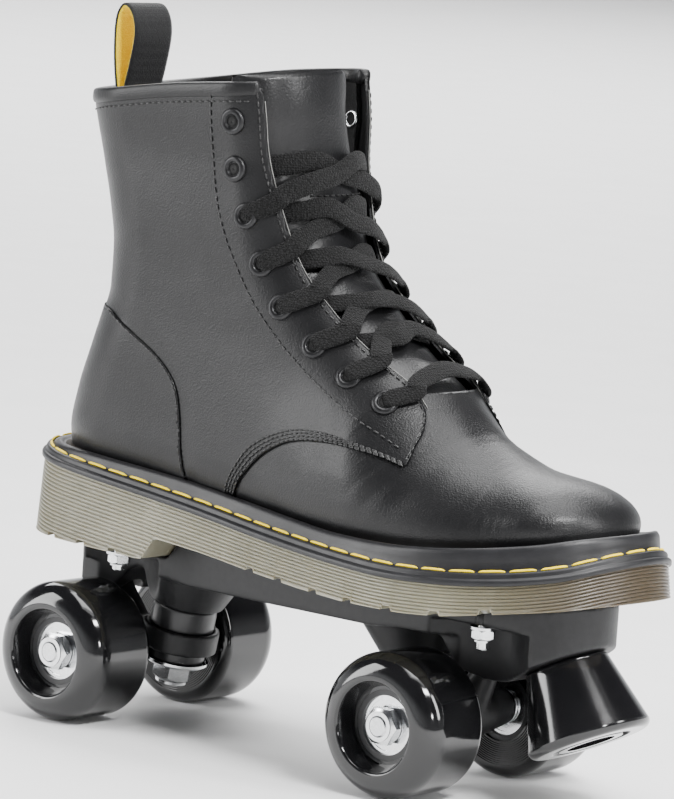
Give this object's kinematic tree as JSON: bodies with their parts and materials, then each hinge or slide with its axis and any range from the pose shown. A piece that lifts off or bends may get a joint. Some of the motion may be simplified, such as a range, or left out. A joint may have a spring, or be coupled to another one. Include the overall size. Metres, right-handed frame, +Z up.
{
  "type": "quad roller skate",
  "caption": "High-top leather boot roller skate with two rubber-cushioned steering trucks, spinning wheels on ball bearings, a slanted toe stop and a welted ribbed sole.",
  "frame": {"origin": "on the ground, midway between the two axles, on the skate's middle line", "axes": "+X towards the toe, +Y towards the wearer's left (the inner side of this right-foot skate), +Z up"},
  "size_m": [0.2839, 0.1092, 0.275],
  "materials": {
    "wheel_urethane": "glossy black moulded urethane",
    "hub_core": "black nylon wheel core",
    "bearing_steel": "bright bearing steel",
    "zinc": "bright zinc plated steel",
    "axle_steel": "plated steel rod",
    "truck_nylon": "matte charcoal glass-filled nylon",
    "cushion_rubber": "black urethane cushion",
    "stop_rubber": "glossy black moulded toe stop",
    "sole_rubber": "translucent olive-grey ribbed sole",
    "welt_black": "smooth black welt",
    "yellow_thread": "waxed yellow thread",
    "board": "fibre board",
    "footbed_foam": "black foam-backed cloth",
    "lining_cloth": "black woven lining",
    "leather_black": "smooth black leather, soft sheen",
    "tongue_leather": "grained black leather, glossier",
    "eyelet_black": "black enamelled brass eyelet",
    "lace_black": "black woven flat lace",
    "loop_webbing": "black webbing, yellow inside",
    "loop_yellow": "yellow face of the webbing"
  },
  "bodies": {
    "chassis": {"plate": "truck_nylon", "kingpins": "zinc", "kingpin_nuts": "zinc", "cushion_washers": "zinc", "pivot_cups": "cushion_rubber", "front_upper_cushion": "cushion_rubber", "front_lower_cushion": "cushion_rubber", "rear_upper_cushion": "cushion_rubber", "rear_lower_cushion": "cushion_rubber", "toe_stop": "stop_rubber", "toe_stop_bolt": "zinc", "toe_stop_nut": "zinc", "mounting_bolts": "zinc", "mounting_nuts": "zinc", "mounting_washers": "zinc", "outsole": "sole_rubber", "welt": "welt_black", "welt_stitching": "yellow_thread", "midsole_board": "board", "footbed": "footbed_foam", "lining": "lining_cloth", "vamp": "leather_black", "quarter_lateral": "leather_black", "quarter_medial": "leather_black", "heel_counter": "leather_black", "collar_binding": "leather_black", "tongue": "tongue_leather", "eyelets": "eyelet_black", "lace": "lace_black", "pull_loop": "loop_webbing"},
    "front_truck": {"front_hanger": "truck_nylon", "front_axle": "axle_steel", "front_axle_nuts": "zinc", "front_axle_washers": "zinc", "front_bearing_inner_races": "bearing_steel", "front_bearing_spacers": "bearing_steel"},
    "rear_truck": {"rear_hanger": "truck_nylon", "rear_axle": "axle_steel", "rear_axle_nuts": "zinc", "rear_axle_washers": "zinc", "rear_bearing_inner_races": "bearing_steel", "rear_bearing_spacers": "bearing_steel"},
    "front_left_wheel": {"front_left_tyre": "wheel_urethane", "front_left_hub": "hub_core", "front_left_bearing_casings": "bearing_steel", "front_left_bearing_balls": "bearing_steel"},
    "front_right_wheel": {"front_right_tyre": "wheel_urethane", "front_right_hub": "hub_core", "front_right_bearing_casings": "bearing_steel", "front_right_bearing_balls": "bearing_steel"},
    "rear_left_wheel": {"rear_left_tyre": "wheel_urethane", "rear_left_hub": "hub_core", "rear_left_bearing_casings": "bearing_steel", "rear_left_bearing_balls": "bearing_steel"},
    "rear_right_wheel": {"rear_right_tyre": "wheel_urethane", "rear_right_hub": "hub_core", "rear_right_bearing_casings": "bearing_steel", "rear_right_bearing_balls": "bearing_steel"}
  },
  "joints": [
    {"name": "front_truck_steer", "type": "hinge", "parent": "chassis", "child": "front_truck", "pos_m": [0.0604, 0, 0.0324], "axis": [0.8856, 0, 0.4645], "range_deg": [-8, 8], "stiffness_Nm_per_rad": 20, "deforming": ["front_upper_cushion", "front_lower_cushion"]},
    {"name": "rear_truck_steer", "type": "hinge", "parent": "chassis", "child": "rear_truck", "pos_m": [-0.0604, 0, 0.0324], "axis": [-0.8856, 0, 0.4645], "range_deg": [-8, 8], "stiffness_Nm_per_rad": 20, "deforming": ["rear_upper_cushion", "rear_lower_cushion"]},
    {"name": "front_left_wheel_spin", "type": "hinge", "parent": "front_truck", "child": "front_left_wheel", "pos_m": [0.0816, 0.0381, 0.027], "axis": [0, 1, 0], "continuous": true},
    {"name": "front_right_wheel_spin", "type": "hinge", "parent": "front_truck", "child": "front_right_wheel", "pos_m": [0.0816, -0.0381, 0.027], "axis": [0, 1, 0], "continuous": true},
    {"name": "rear_left_wheel_spin", "type": "hinge", "parent": "rear_truck", "child": "rear_left_wheel", "pos_m": [-0.0816, 0.0381, 0.027], "axis": [0, 1, 0], "continuous": true},
    {"name": "rear_right_wheel_spin", "type": "hinge", "parent": "rear_truck", "child": "rear_right_wheel", "pos_m": [-0.0816, -0.0381, 0.027], "axis": [0, 1, 0], "continuous": true}
  ]
}
